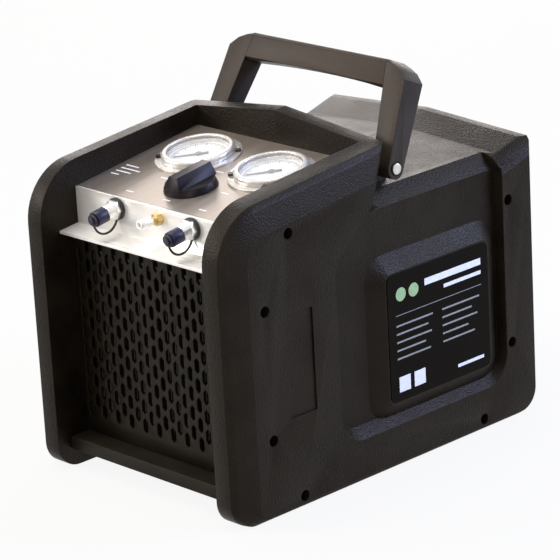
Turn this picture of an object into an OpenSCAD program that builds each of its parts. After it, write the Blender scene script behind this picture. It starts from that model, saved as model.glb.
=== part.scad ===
// Portable refrigerant recovery machine. Two moulded side shells clamp a folded
// steel tray, a sloping control panel, a stepped port bracket and a slotted
// grille round a fan-cooled twin-cylinder compressor. Millimetres, +Z up, the
// front towards -Y, the origin on the floor under the middle of the housing.

/* [Housing] */
// Length of the housing, front rim to rear wall
body_l = 385; // [378:1:396]
// Width over the two side shells
body_w = 257; // [253:1:265]
// Height of the hood's rim at its rear end
hood_h = 292; // [288:1:298]
// Length of the hood, front rim to its rear face
hood_l = 201.5; // [198:0.5:205]
// Fall of the hood's top line from its rear end to its front curve
hood_drop = 15; // [10:1:18]
// Radius of the hood's front curve
hood_r = 50; // [44:1:58]
// Rise of the hood from its rim to the centre seam
hood_gable = 13.5; // [8:0.5:16]
// Width of each wing
wing_w = 26.5; // [25.5:0.5:28]
// How far the rim stands in from the side face
bevel_in = 9; // [7:0.5:11]
// Width of the soft bevel round each wing
bevel_run = 26; // [20:1:30]
// Lean of the wings' rear ends
wing_lean = 16.4; // [14:0.2:18]
// Thickness of the shell walls
wall = 4; // [3:0.5:4.5]
// Thickness of the hood's rear wall
hood_wall = 13; // [10:0.5:15]
// Thickness of the rear wall
rear_wall = 6.5; // [5:0.5:8]
// Radius of the shells' lower front corner
toe_r = 23; // [16:1:26]
// Radius of the shells' lower rear corner
heel_r = 30; // [24:1:34]
// Rise of the side face's lower edge from the floor
skid_bevel = 3; // [2:0.5:5]

/* [Deck] */
// Height of the rear deck at its side edges
deck_h = 249; // [246:1:252]
// Rise of the deck from its edges to the centre seam
deck_gable = 6; // [3:0.5:8]
// Height of the rear lip over the deck
lip_h = 8.5; // [7:0.5:11]
// Run of the rear lip's sloping face
lip_run = 30; // [27:1:34]
// Thickness of the rear lip at its top
lip_t = 12.5; // [9:0.5:16]
// How far the deck's side edge stands in from the side face
deck_in = 21.5; // [18:0.5:24]
// Fall of the rear pillar's bevel below the deck
pillar_bevel = 18; // [15:1:22]

/* [Side recess] */
// Depth of the recess in each side
recess_d = 10; // [8:0.5:11]
// Height of the recess floor's lower edge
recess_z = 48; // [42:1:54]
// Run of the recess's sloping border
recess_run = 10; // [6:1:13]
// Width of the rear pillar behind the recess
pillar_w = 48; // [46:1:52]
// Height of the raised pad over the recess floor
pad_h = 9; // [6:0.5:9.5]
// Length of the pad's flat face
pad_l = 132; // [120:1:136]
// Height of the pad's flat face
pad_w = 120; // [110:1:124]
// Width of the pad's sloping border
pad_run = 17; // [12:1:18]
// Length of the bare plate recess near the front of the right side
plate_l = 31; // [24:1:36]
// Height of the bare plate recess
plate_h = 92; // [80:1:100]
// Depth of the bare plate recess
plate_d = 1.5; // [1:0.1:2.5]

/* [Screw wells] */
// Radius of the wells in the shells' sides
well_r = 5; // [4.6:0.1:6]
// Depth of the wells
well_d = 15; // [13:0.5:17]
// Radius of the bosses round the wells
boss_r = 9; // [7.5:0.5:10]
// Radius of the shell screws' shanks
screw_r = 2; // [1.5:0.1:2.5]

/* [Panel] */
// Distance of the panel's front edge behind the front rim
panel_set = 43.5; // [40:0.5:46]
// Depth of the panel's front edge below the hood's rim height
panel_drop = 38; // [35:1:42]
// Slope of the panel
panel_tilt = 8.3; // [6:0.1:9]
// Thickness of the sheet metal pieces
sheet = 2; // [1.5:0.1:2.5]
// Place of the gauges up the slope
gauge_s = 95; // [90:1:98]
// Distance of each gauge from the middle
gauge_x = 46; // [42:1:50]
// Place of the knob up the slope
knob_s = 42; // [38:1:44]

/* [Gauges] */
// Radius of the gauge flange
flange_r = 39; // [37:0.5:40]
// Thickness of the gauge flange
flange_t = 1.6; // [1.2:0.1:2]
// Radius of the gauge case
case_r = 30; // [28:0.5:31]
// Depth of the gauge case under the panel
case_d = 24; // [18:1:25]
// Height of the case's rim over the panel
case_rim = 4.5; // [4.2:0.1:6]
// Thickness of the gauge lens
lens_t = 1.8; // [1.2:0.1:2.5]
// Width of the gauge bezel
bezel_w = 3; // [2:0.1:4]
// Thickness of the bezel's lip over the lens
bezel_t = 1.7; // [1:0.1:2.5]
// Radius of the circle of the flange screws
flange_pcr = 36; // [35:0.5:36.5]

/* [Knob] */
// Radius of the knob's skirt
knob_r = 24; // [22:0.5:26]
// Height of the knob's skirt
skirt_h = 6.5; // [5.5:0.5:8]
// Height of the whole knob
knob_h = 16.5; // [15:0.5:20]
// Width of the knob's grip bar at its foot
bar_w = 20; // [16:0.5:24]
// Radius of the valve stem
stem_r = 5; // [4:0.5:6]

/* [Ports] */
// Distance of each hose port from the middle
port_x = 47.5; // [44:0.5:52]
// Height of the bracket's riser
riser_h = 33; // [31:0.5:36]
// Height of the ports over the tread
port_up = 22.5; // [20:0.5:23]
// Droop of the ports' front part
port_tilt = 10; // [0:1:14]
// Depth of the bracket's tread
tread_d = 21.5; // [18:0.5:24]
// Fall of the tread to its front edge
tread_fall = 2.5; // [1:0.5:4]
// Height of the lip on the tread's front edge
tread_lip = 2.5; // [2:0.5:5]
// Radius of the port's body
port_r = 7; // [6.5:0.1:7.4]
// Radius of the port's threaded stub
stub_r = 5.2; // [4.8:0.1:5.4]
// Radius of the port caps
cap_r = 6.8; // [6.4:0.1:7.4]

/* [Grille] */
// Distance of the grille behind the front rim
grille_set = 34.5; // [30:0.5:37]
// Thickness of the grille
grille_t = 3; // [2:0.5:4]
// Distance between the grille's columns of slots
slot_pitch_x = 9; // [8.5:0.25:10]
// Distance between the slots in a column
slot_pitch_z = 18; // [17:0.1:20]
// Width of a slot
slot_w = 5.8; // [4:0.1:6.5]
// Height of a slot
slot_h = 14.5; // [12:0.1:15.5]
// Border of the grille round its slots
grille_rim = 2; // [1.5:0.5:5]

/* [Tray] */
// Height of the tray's underside over the floor
tray_z = 17; // [16:1:20]
// Distance of the tray's front bar behind the front rim
tray_set = 14.5; // [10:0.5:18]
// Height of the tray's front bar
bar_h = 12; // [9:0.5:13]
// Depth of the tray's front bar
bar_d = 26; // [25:0.5:28]

/* [Handle] */
// Lean of the handle from upright
lean = 23.5; // [10:0.5:30]
// Distance of the handle's pivot behind the hood
pivot_back = 15; // [14:0.5:20]
// Height of the handle's pivot over the deck's edge
pivot_up = 16; // [15:0.5:20]
// Height of the handle over its pivot
grip_top = 90.5; // [84:0.5:100]
// Height of the grip at its ends
grip_h = 25.5; // [22:0.5:30]
// Rise of the grip's arched underside
grip_arch = 3.5; // [1.5:0.5:5]
// Width of each arm at the pivot
arm_w = 19.5; // [17:0.5:22]
// Radius of each arm's lower end
arm_r = 9.5; // [8:0.5:10.5]
// Distance of the grip's front face from the pivot line
grip_front = 7; // [5:0.5:9]
// Distance of the grip's rear face from the pivot line
grip_rear = 17.5; // [14:0.5:18]
// Inward slope of the arms' outer faces
cant_out = 6; // [4:0.5:7]
// Inward slope of the arms' inner faces
cant_in = 9.75; // [8:0.25:11]
// Radius of the pivot bolts
bolt_r = 4; // [3:0.5:5]

/* [Machinery] */
// Height of the fan and motor shaft
shaft_z = 118; // [116:1:121]
// Radius of the motor shaft
shaft_r = 5; // [4:0.5:6]
// Radius of the fan
fan_r = 72; // [64:1:74]
// Number of fan blades
blades = 5; // [4:1:7]
// Radius of the motor
motor_r = 40; // [36:1:44]
// Length of the motor
motor_l = 92; // [84:1:94]
// Depth of the condenser
coil_d = 20; // [16:1:20]
// Height of the condenser
coil_h = 180; // [160:1:182]
// Number of the condenser's tube passes
passes = 8; // [6:2:10]
// Radius of the refrigerant tubes
tube_r = 4; // [3:0.5:4.5]
// Radius of the cylinders
cylinder_r = 24; // [20:1:26]
// Length of each cylinder
cylinder_l = 28; // [24:1:30]
// Radius of the run capacitor
capacitor_r = 19; // [16:1:22]

/* [Hidden] */

$fn = 48;
shell_fn = 48;
grip_fn = 360;
fit = 0.3;
run_fit = 0.05;
past = 1;
skin = 0.4;
far = 400;

shell_color = [0.10, 0.10, 0.105];
handle_color = [0.16, 0.145, 0.13];
panel_color = [0.42, 0.38, 0.32];
steel_color = [0.83, 0.83, 0.82];
dark_steel_color = [0.22, 0.21, 0.20];
nickel_color = [0.78, 0.77, 0.74];
brass_color = [0.72, 0.53, 0.25];
copper_color = [0.72, 0.42, 0.27];
rubber_color = [0.05, 0.05, 0.05];
cap_color = [0.09, 0.10, 0.20];
cast_color = [0.55, 0.56, 0.57];

// Planes of the housing
y_f = -body_l / 2;
y_r = body_l / 2;
side_x = body_w / 2;
rim_x = side_x - bevel_in;
bay_x = side_x - wing_w;
hood_y = y_f + hood_l;
wall_y = hood_y - hood_wall;
hood_front_z = hood_h - hood_drop;
deck_x = side_x - deck_in;
deck_angle = atan(deck_gable / deck_x);
lip_y = y_r - lip_t;
recess_x = side_x - recess_d;
recess_y = y_r - pillar_w;
wing_back = hood_y - 23;
wing_low = hood_y - 66;
cavity_x = recess_x - wall;
tray_top = tray_z + sheet;
edge_r = 6;
rear_in = 10;
rear_soft = 3.5;
mid_x = rim_x + bevel_in * 0.45;
mid_in = bevel_run * 0.2;
mid_rear = 5;

// Pad and label
pad_x = recess_x + pad_h;
pad_y = recess_y - pad_run - pad_l / 2 - 2;
pad_z = recess_z + pad_run + pad_w / 2 - 7;
pad_r = 8;
label_t = 0.6;
label_gap = 2;
plate_y = y_f + 82;
plate_z = 130;

// Screw wells on each side: distance along, height and the reach of the boss
wing_boss = side_x - wall + past;
pillar_boss = recess_x - past;
wells = [[y_f + 74, hood_h - 46, wing_boss], [y_f + 43, 186, wing_boss], [y_f + 45, 71, wing_boss],
    [y_f + 78, 11, pillar_boss], [y_r - 40, deck_h - 42, pillar_boss], [y_r - 40, 73, pillar_boss],
    [y_r - 80, 11, pillar_boss]];
well_x = side_x - well_d;
screw_in = bay_x - 8;
screw_head_r = 4.2;
screw_head_h = 3;
screw_gap = 0.2;

// Panel, bracket and grille
panel_y = y_f + panel_set;
panel_z = hood_h - panel_drop;
panel_l = (wall_y - fit - panel_y) / cos(panel_tilt);
panel_half = bay_x - fit;
ledge_w = 8;
ledge_t = 4;
ledge_s = 16;
riser_y = panel_y - sheet;
tread_z = panel_z - riser_h;
tread_y = riser_y - tread_d;
bracket_flange = 14;
grille_y = y_f + grille_set;
bar_top = tray_z + bar_h;
tread_under = tread_z - sheet - tread_fall * (panel_y - grille_y) / (panel_y - tread_y - sheet);
grille_top = tread_under - fit;
port_z = tread_z + port_up;
neck_r = 6.5;
neck_l = 3;
nut_r = 9;
nut_l = 7;
port_l = 8;
stub_l = 10;
tail_r = 6;
filter_r = 6.5;
filter_l = 12;
nose_r = 2.6;
nose_l = 3.5;
cap_wall = 1.6;
cap_y = -port_l - fit;
cap_end = cap_y - stub_l - cap_wall;
cord_r = 1;
relief_x = 6.5;
relief_z = port_z + 1;
valve_y = panel_y + 2 * sheet + 14;
valve_l = 36;
valve_half = 62;
valve_z = min(port_z - 16, deck_h - wall - 2 * tube_r - 4);
valve_h = port_z + 10 - valve_z;
tube_x = 40;
tube_z = valve_z + tube_r + 1;

// Handle
pivot_y = hood_y + pivot_back;
pivot_z = deck_h + pivot_up;
arm_out = rim_x - 2.5;
lug_w = 14;
lug_r = 11;
lug_x = arm_out - arm_w - 3.5;
spot_x = arm_out - 1;
spot_r = 6.8;
chamfer_w = 14.5;
chamfer_x = 2;
grip_low = grip_top - grip_h;
grip_ease = 3;

// Machinery
coil_y = grille_y + grille_t + 5;
coil_gap = 16;
coil_half = bay_x - coil_gap;
fan_gap = 8;
fan_edge = min(fan_r, coil_half - fan_gap, tray_top + coil_h - shaft_z - fan_gap);
shroud_y = coil_y + coil_d + 2;
fan_y = shroud_y + 14;
fan_l = 18;
motor_y = fan_y + fan_l + 8;
motor_end = motor_y + motor_l;
case_half = 38;
crank_l = 66;
crank_y = motor_end + sheet * 2;
crank_mid = crank_y + crank_l / 2;
head_half = 28;
head_t = 18;
head_x = case_half + cylinder_l;
port_head_x = head_x + head_t / 2;
elbow_r = 14;

// Power inlet on the rear wall
inlet_x = -60;
inlet_z = 70;
inlet_w = 40;
inlet_h = 60;
inlet_flange = 2.4;
inlet_sink = 3;
inlet_body_w = 28;
inlet_body_h = 48;
inlet_body_l = 30;
rocker_z = inlet_z + 11;
rocker_y = y_r - 8;
rocker_tilt = 6;

// A flat disc whose axis runs along X
module x_disc(x, y, z, r) {
    translate([x, y, z]) rotate([0, 90, 0]) cylinder(r = r, h = skin, $fn = shell_fn);
}

// A round rod along X from x0 to x1
module x_rod(x0, x1, y, z, r) {
    translate([x0, y, z]) rotate([0, 90, 0]) cylinder(r = r, h = x1 - x0);
}

// A round rod along Y from y0 to y1
module y_rod(x, y0, y1, z, r) {
    translate([x, y0, z]) rotate([-90, 0, 0]) cylinder(r = r, h = y1 - y0);
}

// A YZ outline carried along X
module x_prism(x0, x1) {
    translate([x0, 0, 0]) rotate([90, 0, 90]) linear_extrude(x1 - x0) children();
}

// An XZ outline carried along Y
module y_prism(y0, y1) {
    translate([0, y1, 0]) rotate([90, 0, 0]) linear_extrude(y1 - y0) children();
}

// A block from its two corners
module block(low, high) {
    translate(low) cube(high - low);
}

// A point of the panel's section: s up the slope, n out of the panel
function panel_point(s, n) = [panel_y + s * cos(panel_tilt) - n * sin(panel_tilt),
    panel_z + s * sin(panel_tilt) + n * cos(panel_tilt)];

// Places a piece on the panel, with its axis out of the panel
module on_panel(x, s) {
    translate([x, panel_y, panel_z]) rotate([panel_tilt, 0, 0]) translate([0, s, 0]) children();
}

// Places a piece in the leaning handle's own frame
module on_handle() {
    translate([0, pivot_y, pivot_z]) rotate([-lean, 0, 0]) children();
}

// The right half of the housing as one soft-edged block up to the hood's top line
module body_form() {
    rear_top = hood_front_z + hood_drop * (body_l - hood_r) / (hood_l - hood_r);
    side_toe = toe_r / 2;
    mid_toe = toe_r * 0.8;
    hull() {
        for (ring = [[0, hood_gable], [rim_x - skin, 0]]) {
            x_disc(ring[0], y_f + toe_r, toe_r, toe_r);
            x_disc(ring[0], y_f + hood_r, hood_front_z + ring[1] - hood_r, hood_r);
        }
        for (ring = [[0, hood_gable, 0], [deck_x, hood_gable * (1 - deck_x / rim_x), 0],
            [rim_x - skin, 0, rear_soft]]) {
            x_disc(ring[0], y_r - ring[2] - edge_r, rear_top + ring[1] - edge_r, edge_r);
            x_disc(ring[0], y_r - ring[2] - heel_r, heel_r, heel_r);
        }
        x_disc(mid_x, y_f + mid_in + mid_toe, mid_toe, mid_toe);
        x_disc(mid_x, y_f + hood_r, hood_front_z - hood_r, hood_r - mid_in);
        x_disc(mid_x, y_r - mid_rear - edge_r, rear_top - mid_in - edge_r, edge_r);
        x_disc(mid_x, y_r - heel_r, heel_r - mid_rear, heel_r - mid_rear);
        x_disc(side_x - skin, y_f + bevel_run + side_toe, skid_bevel + side_toe, side_toe);
        x_disc(side_x - skin, y_f + hood_r, hood_front_z - hood_r, hood_r - bevel_run);
        x_disc(side_x - skin, y_r - rear_in - edge_r, rear_top - bevel_run - edge_r, edge_r);
        x_disc(side_x - skin, y_r - heel_r, heel_r + skid_bevel - rear_in, heel_r - rear_in);
    }
}

// Takes the block down to the gabled deck behind the hood, leaving the sloping lip
module deck_cut() {
    ease = 4;
    translate([0, 0, deck_h + deck_gable]) rotate([0, deck_angle, 0]) x_prism(-far / 8, far)
        polygon([[hood_y, 0], [lip_y - lip_run, 0], [lip_y, lip_h], [y_r - ease, lip_h],
            [y_r + ease, lip_h - 2 * ease], [y_r + ease, far], [hood_y, far]]);
}

// Place of the wing's leaning rear end at height z
function wing_end(z) = hood_y + past - (hood_h - z) * tan(wing_lean);

// Sets the deck's side bevel in over the recess and leans the wing's rear end
module shoulder_cut() {
    drop = recess_d + 3;
    edge = deck_x - 1.5;
    inner = edge - drop / 2;
    low = deck_h / 2;
    intersection() {
        y_prism(-far, recess_y)
            polygon([[recess_x, low], [recess_x, deck_h - drop],
                [inner, deck_h + drop / 2 * drop / (recess_x - edge)], [inner, far], [far, far], [far, low]]);
        x_prism(0, far)
            polygon([[wing_end(low - past), low - past], [wing_end(far), far], [far, far], [far, low - past]]);
    }
}

// The rounded edge of the rear pillar, which climbs from the deck's edge with the lip's face
module pillar_cut() {
    climb = atan(lip_h / lip_run);
    arc = [for (t = [0:30:90]) [deck_x + deck_in * sin(t), pillar_bevel * (cos(t) - 1)]];
    above = 2 * arc[0] - arc[1];
    below = 2 * arc[3] - arc[2];
    translate([0, recess_y, deck_h]) rotate([climb, 0, 0]) y_prism(-3 * past, far)
        polygon(concat([above], arc, [below, [far, below[1]], [far, far], [above[0], far]]));
}

// The bevel at the hood's rear corner, leaning with the wing's end
module hood_corner_cut() {
    low = (hood_h - deck_h + recess_d - past) / cos(wing_lean);
    translate([0, hood_y, hood_h]) rotate([-wing_lean, 0, 0]) translate([0, 0, -low]) linear_extrude(far)
        polygon([[rim_x - bevel_in * 5 / 12, 2 * past], [side_x + bevel_in, -3 * bevel_in],
            [far, -3 * bevel_in], [far, 2 * past]]);
}

// The side recess, with a sloping border that sweeps up under the wing's end
module recess_cut() {
    corner = 18;
    small = 2;
    high = deck_h - recess_d - 5;
    hull() for (ring = [[recess_x, 0, 0], [side_x + past, recess_run, 1]]) {
        x_disc(ring[0], wing_low + corner, recess_z + corner, corner + ring[1]);
        x_disc(ring[0], recess_y - corner - ring[1] + ring[2], recess_z + corner, corner + ring[1]);
        x_disc(ring[0], recess_y - small, high, small + ring[2]);
        x_disc(ring[0], wing_back, high, small + ring[1]);
        x_disc(ring[0], wing_low + corner, deck_h - 58, corner + ring[1]);
    }
}

// The raised pad in the recess
module side_pad() {
    hull() for (ring = [[recess_x - past, pad_run], [pad_x - skin, 0]], i = [-1, 1], j = [-1, 1])
        x_disc(ring[0], pad_y + i * (pad_l / 2 - pad_r), pad_z + j * (pad_w / 2 - pad_r), pad_r + ring[1]);
}

// The hollow inside a shell half: bay, machinery space, wing and skid
module shell_hollow() {
    block([-past, y_f - past, -past], [bay_x, wall_y, far]);
    block([-past, y_f, -past], [bay_x, far, tray_z]);
    block([-past, wall_y - past, tray_z - past], [deck_x - wall, y_r - rear_wall, deck_h - wall]);
    block([bay_x - past, hood_y - wall, tray_z], [cavity_x, y_r - rear_wall, deck_h - pillar_bevel]);
    block([bay_x + wall, y_f + toe_r + wall, wall], [cavity_x, y_r - heel_r - wall, toe_r + 2 * wall]);
    x_prism(bay_x + wall, cavity_x)
        polygon([[y_f + 2 * wall, toe_r + wall], [y_f + 2 * wall, hood_front_z - hood_r - wall],
            [y_f + hood_r + wall, hood_front_z - 2.5 * wall],
            [wing_end(hood_h - 2.5 * wall) - 3 * wall, hood_h - 2.5 * wall],
            [wing_end(deck_h - pillar_bevel) - 3 * wall, deck_h - pillar_bevel],
            [hood_y - wall + past, deck_h - pillar_bevel - wall], [hood_y - wall + past, toe_r + wall]]);
    x_prism(cavity_x - past, side_x - wall)
        polygon([[y_f + bevel_run + wall, toe_r + 2 * wall],
            [y_f + bevel_run + wall, hood_front_z - hood_r - wall],
            [y_f + hood_r + 2 * wall, hood_front_z - bevel_run - wall],
            [wing_low - recess_run - wall, hood_front_z - bevel_run - wall],
            [wing_low - recess_run - wall, toe_r + 2 * wall]]);
}

// Ledges that carry the panel, the grille and the tray on a wing's inner wall
module shell_ledges() {
    on_panel(0, 0)
        block([bay_x - ledge_w, ledge_s, -sheet - ledge_t], [bay_x + past, panel_l - ledge_t, -sheet]);
    block([bay_x - ledge_w, grille_y + grille_t, bar_top + past * 9],
        [bay_x + past, grille_y + grille_t + ledge_t, grille_top - past * 9]);
    block([bay_x - ledge_w, y_f + bar_d + tray_set + past, wall], [bay_x + past, y_r - heel_r, tray_z]);
}

// The lug behind the hood that carries the handle's pivot
module pivot_lug() {
    x_rod(lug_x - lug_w, lug_x, pivot_y, pivot_z, lug_r);
    block([lug_x - lug_w, hood_y - past, deck_h - past], [lug_x, pivot_y + lug_r, pivot_z]);
    block([lug_x - lug_w, hood_y - past, deck_h - past], [lug_x, pivot_y, pivot_z + lug_r]);
}

// Air slots in the rear wall
module rear_slots() {
    slots = 6;
    slot_pitch = 13;
    slot_wide = 6;
    first = 16;
    low = 118;
    high = 205;
    for (i = [0:slots - 1])
        block([first + i * slot_pitch, y_r - rear_wall - past, low],
            [first + i * slot_pitch + slot_wide, y_r + past, high]);
}

// Opening and sunk seat of the power inlet, drawn on the right-hand half
module inlet_seat() {
    block([-inlet_x - inlet_w / 2, y_r - inlet_sink, inlet_z - inlet_h / 2],
        [-inlet_x + inlet_w / 2, y_r + past, inlet_z + inlet_h / 2]);
    block([-inlet_x - inlet_body_w / 2 - fit, y_r - rear_wall - past, inlet_z - inlet_body_h / 2 - fit],
        [-inlet_x + inlet_body_w / 2 + fit, y_r + past, inlet_z + inlet_body_h / 2 + fit]);
}

// Either half: the left one carries the power inlet, the right one the bare plate recess
module shell_half(with_inlet) {
    difference() {
        union() {
            difference() {
                body_form();
                deck_cut();
                shoulder_cut();
                pillar_cut();
                hood_corner_cut();
                recess_cut();
                shell_hollow();
            }
            side_pad();
            shell_ledges();
            pivot_lug();
            for (w = wells) x_rod(bay_x + past, w[2], w[0], w[1], boss_r);
        }
        for (w = wells) {
            x_rod(well_x, far, w[0], w[1], well_r);
            x_rod(screw_in - fit, well_x + past, w[0], w[1], screw_r + screw_gap);
        }
        x_rod(lug_x - lug_w - past, lug_x + past, pivot_y, pivot_z, bolt_r + run_fit);
        rear_slots();
        if (with_inlet) inlet_seat();
        else block([side_x - plate_d, plate_y - plate_l / 2, plate_z - plate_h / 2],
            [far, plate_y + plate_l / 2, plate_z + plate_h / 2]);
    }
}

module right_shell() {
    color(shell_color) shell_half(false);
}

module left_shell() {
    color(shell_color) mirror([1, 0, 0]) shell_half(true);
}

module shell_screws() {
    color(dark_steel_color) for (m = [0, 1]) mirror([m, 0, 0]) for (w = wells) {
        x_rod(screw_in, well_x + past, w[0], w[1], screw_r);
        x_rod(well_x, well_x + screw_head_h, w[0], w[1], screw_head_r);
    }
}

module base_tray() {
    tray_y = y_f + tray_set;
    tray_back = y_r - rear_wall - fit;
    upturn = 14;
    color(dark_steel_color) x_prism(-panel_half, panel_half) {
        translate([tray_y, tray_z]) square([tray_back - tray_y, sheet]);
        translate([tray_y, tray_z]) square([sheet, bar_h]);
        translate([tray_y, bar_top - sheet]) square([bar_d, sheet]);
        translate([tray_back - sheet, tray_z]) square([sheet, upturn]);
    }
}

module control_panel() {
    hole_gap = 0.6;
    color(panel_color) on_panel(0, 0) translate([0, 0, -sheet]) linear_extrude(sheet) difference() {
        translate([-panel_half, fit]) square([2 * panel_half, panel_l - fit]);
        for (i = [-1, 1]) translate([i * gauge_x, gauge_s]) circle(case_r + hole_gap);
        for (i = [-1, 1]) translate([i * gauge_x, gauge_s])
            flange_screw_places() circle(flange_screw_r + screw_gap);
        translate([0, knob_s]) circle(stem_r + hole_gap);
    }
}

// Stepped bracket folded from one sheet: lip, tread, riser and a flange under the panel
module port_bracket() {
    lip_low = tread_z - tread_fall - tread_lip;
    color(steel_color) difference() {
        x_prism(-panel_half, panel_half)
            polygon([[tread_y, lip_low], [tread_y, tread_z - tread_fall], [riser_y, tread_z], [riser_y, panel_z],
                [panel_y, panel_z], panel_point(-sheet * tan(panel_tilt), -sheet),
                panel_point(bracket_flange, -sheet), panel_point(bracket_flange, -2 * sheet),
                panel_point(-2 * sheet * tan(panel_tilt), -2 * sheet), [panel_y, tread_z - sheet],
                [tread_y + sheet, tread_z - tread_fall - sheet], [tread_y + sheet, lip_low]]);
        for (x = [-port_x, port_x]) y_rod(x, riser_y - past, panel_y + past, port_z, tail_r + screw_gap);
        y_rod(relief_x, riser_y - past, panel_y + past, relief_z, relief_tail_r + screw_gap);
    }
}

// One slot of the grille: upright, with pointed ends
module slot() {
    point = slot_w / 2;
    polygon([[-slot_w / 2, point - slot_h / 2], [0, -slot_h / 2], [slot_w / 2, point - slot_h / 2],
        [slot_w / 2, slot_h / 2 - point], [0, slot_h / 2], [-slot_w / 2, slot_h / 2 - point]]);
}

module front_grille() {
    columns = floor((2 * panel_half - 2 * grille_rim - slot_w) / slot_pitch_x) + 1;
    height = grille_top - bar_top;
    rows = floor((height - 2 * grille_rim - slot_h - slot_pitch_z / 2) / slot_pitch_z) + 1;
    low = (height - (rows - 0.5) * slot_pitch_z) / 2 + slot_pitch_z / 2;
    color(dark_steel_color) y_prism(grille_y, grille_y + grille_t) difference() {
        translate([-panel_half, bar_top]) square([2 * panel_half, height]);
        for (i = [0:columns - 1], j = [0:rows - 1])
            translate([(i - (columns - 1) / 2) * slot_pitch_x,
                bar_top + low + (j - 0.25 + (i % 2) / 2) * slot_pitch_z]) slot();
    }
}

// Places a piece on a port's drooping front part, with the hexagon's front face at its origin
module on_port(x) {
    translate([x, riser_y - nut_l, port_z]) rotate([port_tilt, 0, 0]) children();
}

// A nickel hose port with its neck, hexagon, tail, and a drooping round body and threaded stub
module hose_port(x) {
    color(nickel_color) {
        y_rod(x, riser_y - neck_l - past, riser_y, port_z, neck_r);
        translate([x, riser_y - neck_l, port_z]) rotate([90, 0, 0])
            cylinder(r = nut_r, h = nut_l - neck_l, $fn = 6);
        y_rod(x, riser_y - past, valve_y - filter_l, port_z, tail_r);
        on_port(x) {
            y_rod(0, -port_l, 2 * past, 0, port_r);
            y_rod(0, -port_l - stub_l, past - port_l, 0, stub_r);
        }
    }
}

// A port cap: a cup over the stub with a nose for its strap
module port_cap(x) {
    color(cap_color) on_port(x) difference() {
        union() {
            y_rod(0, cap_end, cap_y, 0, cap_r);
            y_rod(0, cap_end - nose_l, cap_end + past, 0, nose_r);
            y_rod(0, cap_end - nose_l - past, cap_end - nose_l + skin, 0, nose_r + past);
        }
        y_rod(0, cap_y - stub_l - fit, cap_y + past, 0, stub_r + run_fit);
    }
}

// A rubber strap: a washer behind the port's hexagon, a ring on the cap's nose and a cord that
// hangs from the ring in one bend
module port_strap(x) {
    washer_r = neck_r + 3.3;
    loop_r = nose_r + 2.6;
    loop_y = cap_end - nose_l + skin + fit;
    loop_t = 2;
    reach = loop_y + loop_t / 2;
    hang = -(nose_r + loop_r + fit) / 2;
    from = [riser_y - neck_l / 2, port_z - (washer_r + neck_r) / 2];
    to = [riser_y - nut_l + reach * cos(port_tilt) - hang * sin(port_tilt),
        port_z + reach * sin(port_tilt) + hang * cos(port_tilt)];
    along = [cos(port_tilt), sin(port_tilt)];
    span = from - to;
    bend_r = span * span / (2 * (span * along));
    centre = to + bend_r * along;
    start = atan2(to[1] - centre[1], to[0] - centre[0]);
    end = atan2(from[1] - centre[1], from[0] - centre[0]);
    color(rubber_color) {
        difference() {
            y_rod(x, riser_y - neck_l, riser_y, port_z, washer_r);
            y_rod(x, riser_y - neck_l - past, riser_y + past, port_z, neck_r + screw_gap);
        }
        translate([x, centre[0], centre[1]]) rotate([90, 0, 90]) rotate(start)
            rotate_extrude(angle = end - start) translate([bend_r, 0]) circle(cord_r);
        on_port(x) difference() {
            y_rod(0, loop_y, loop_y + loop_t, 0, loop_r);
            y_rod(0, loop_y - past, loop_y + loop_t + past, 0, nose_r + fit);
        }
    }
}

module inlet_port() { hose_port(-port_x); }
module outlet_port() { hose_port(port_x); }
module inlet_cap() { port_cap(-port_x); }
module outlet_cap() { port_cap(port_x); }
module inlet_strap() { port_strap(-port_x); }
module outlet_strap() { port_strap(port_x); }

// The relief fitting between the ports: a brass body and a plated outlet tube
relief_tail_r = 3.5;
relief_nut_r = 5.6;
relief_nut_l = 6;
relief_r = 3.4;
relief_l = 4;
relief_cap_r = 4.2;
relief_cap_l = 14;
relief_bore_r = 2;
relief_bore_l = 8;
module relief_valve() {
    color(brass_color) {
        translate([relief_x, riser_y, relief_z]) rotate([90, 0, 0])
            cylinder(r = relief_nut_r, h = relief_nut_l, $fn = 6);
        y_rod(relief_x, riser_y - relief_nut_l - relief_l, riser_y - relief_nut_l + past, relief_z, relief_r);
        y_rod(relief_x, riser_y - past, valve_y, relief_z, relief_tail_r);
    }
}

module relief_cap() {
    back = riser_y - relief_nut_l - relief_l;
    tip = back - relief_cap_l;
    color(nickel_color) difference() {
        y_rod(relief_x, tip, back, relief_z, relief_cap_r);
        y_rod(relief_x, tip - past, tip + relief_bore_l, relief_z, relief_bore_r);
    }
}

// Gauges, in the panel's frame
flange_screw_r = 1.4;
dial_r = case_r - 2.5;
dial_z = 0.5;
dial_t = 0.6;
pin_r = 1.2;
post_r = 3;
post_top = -3;
module flange_screw_places() {
    for (a = [35:90:305]) rotate(a) translate([flange_pcr, 0, 0]) children();
}

module gauge_case(x) {
    floor_t = 3;
    color(nickel_color) on_panel(x, gauge_s) {
        difference() {
            union() {
                translate([0, 0, -case_d]) cylinder(r = case_r, h = case_d + case_rim);
                cylinder(r = flange_r, h = flange_t);
            }
            translate([0, 0, floor_t - case_d]) cylinder(r = dial_r - past, h = far);
            translate([0, 0, dial_z]) cylinder(r = dial_r + screw_gap, h = far);
            translate([0, 0, -past]) flange_screw_places()
                cylinder(r = flange_screw_r + screw_gap, h = flange_t + 2 * past);
        }
        difference() {
            translate([0, 0, -case_d + past]) cylinder(r = post_r, h = post_top + case_d - past);
            translate([0, 0, post_top - 8]) cylinder(r = pin_r + run_fit, h = 8 + past);
        }
    }
}

module gauge_dial(x) {
    color("white") on_panel(x, gauge_s) translate([0, 0, dial_z]) linear_extrude(dial_t) difference() {
        circle(dial_r);
        circle(pin_r + screw_gap);
    }
}

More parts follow.
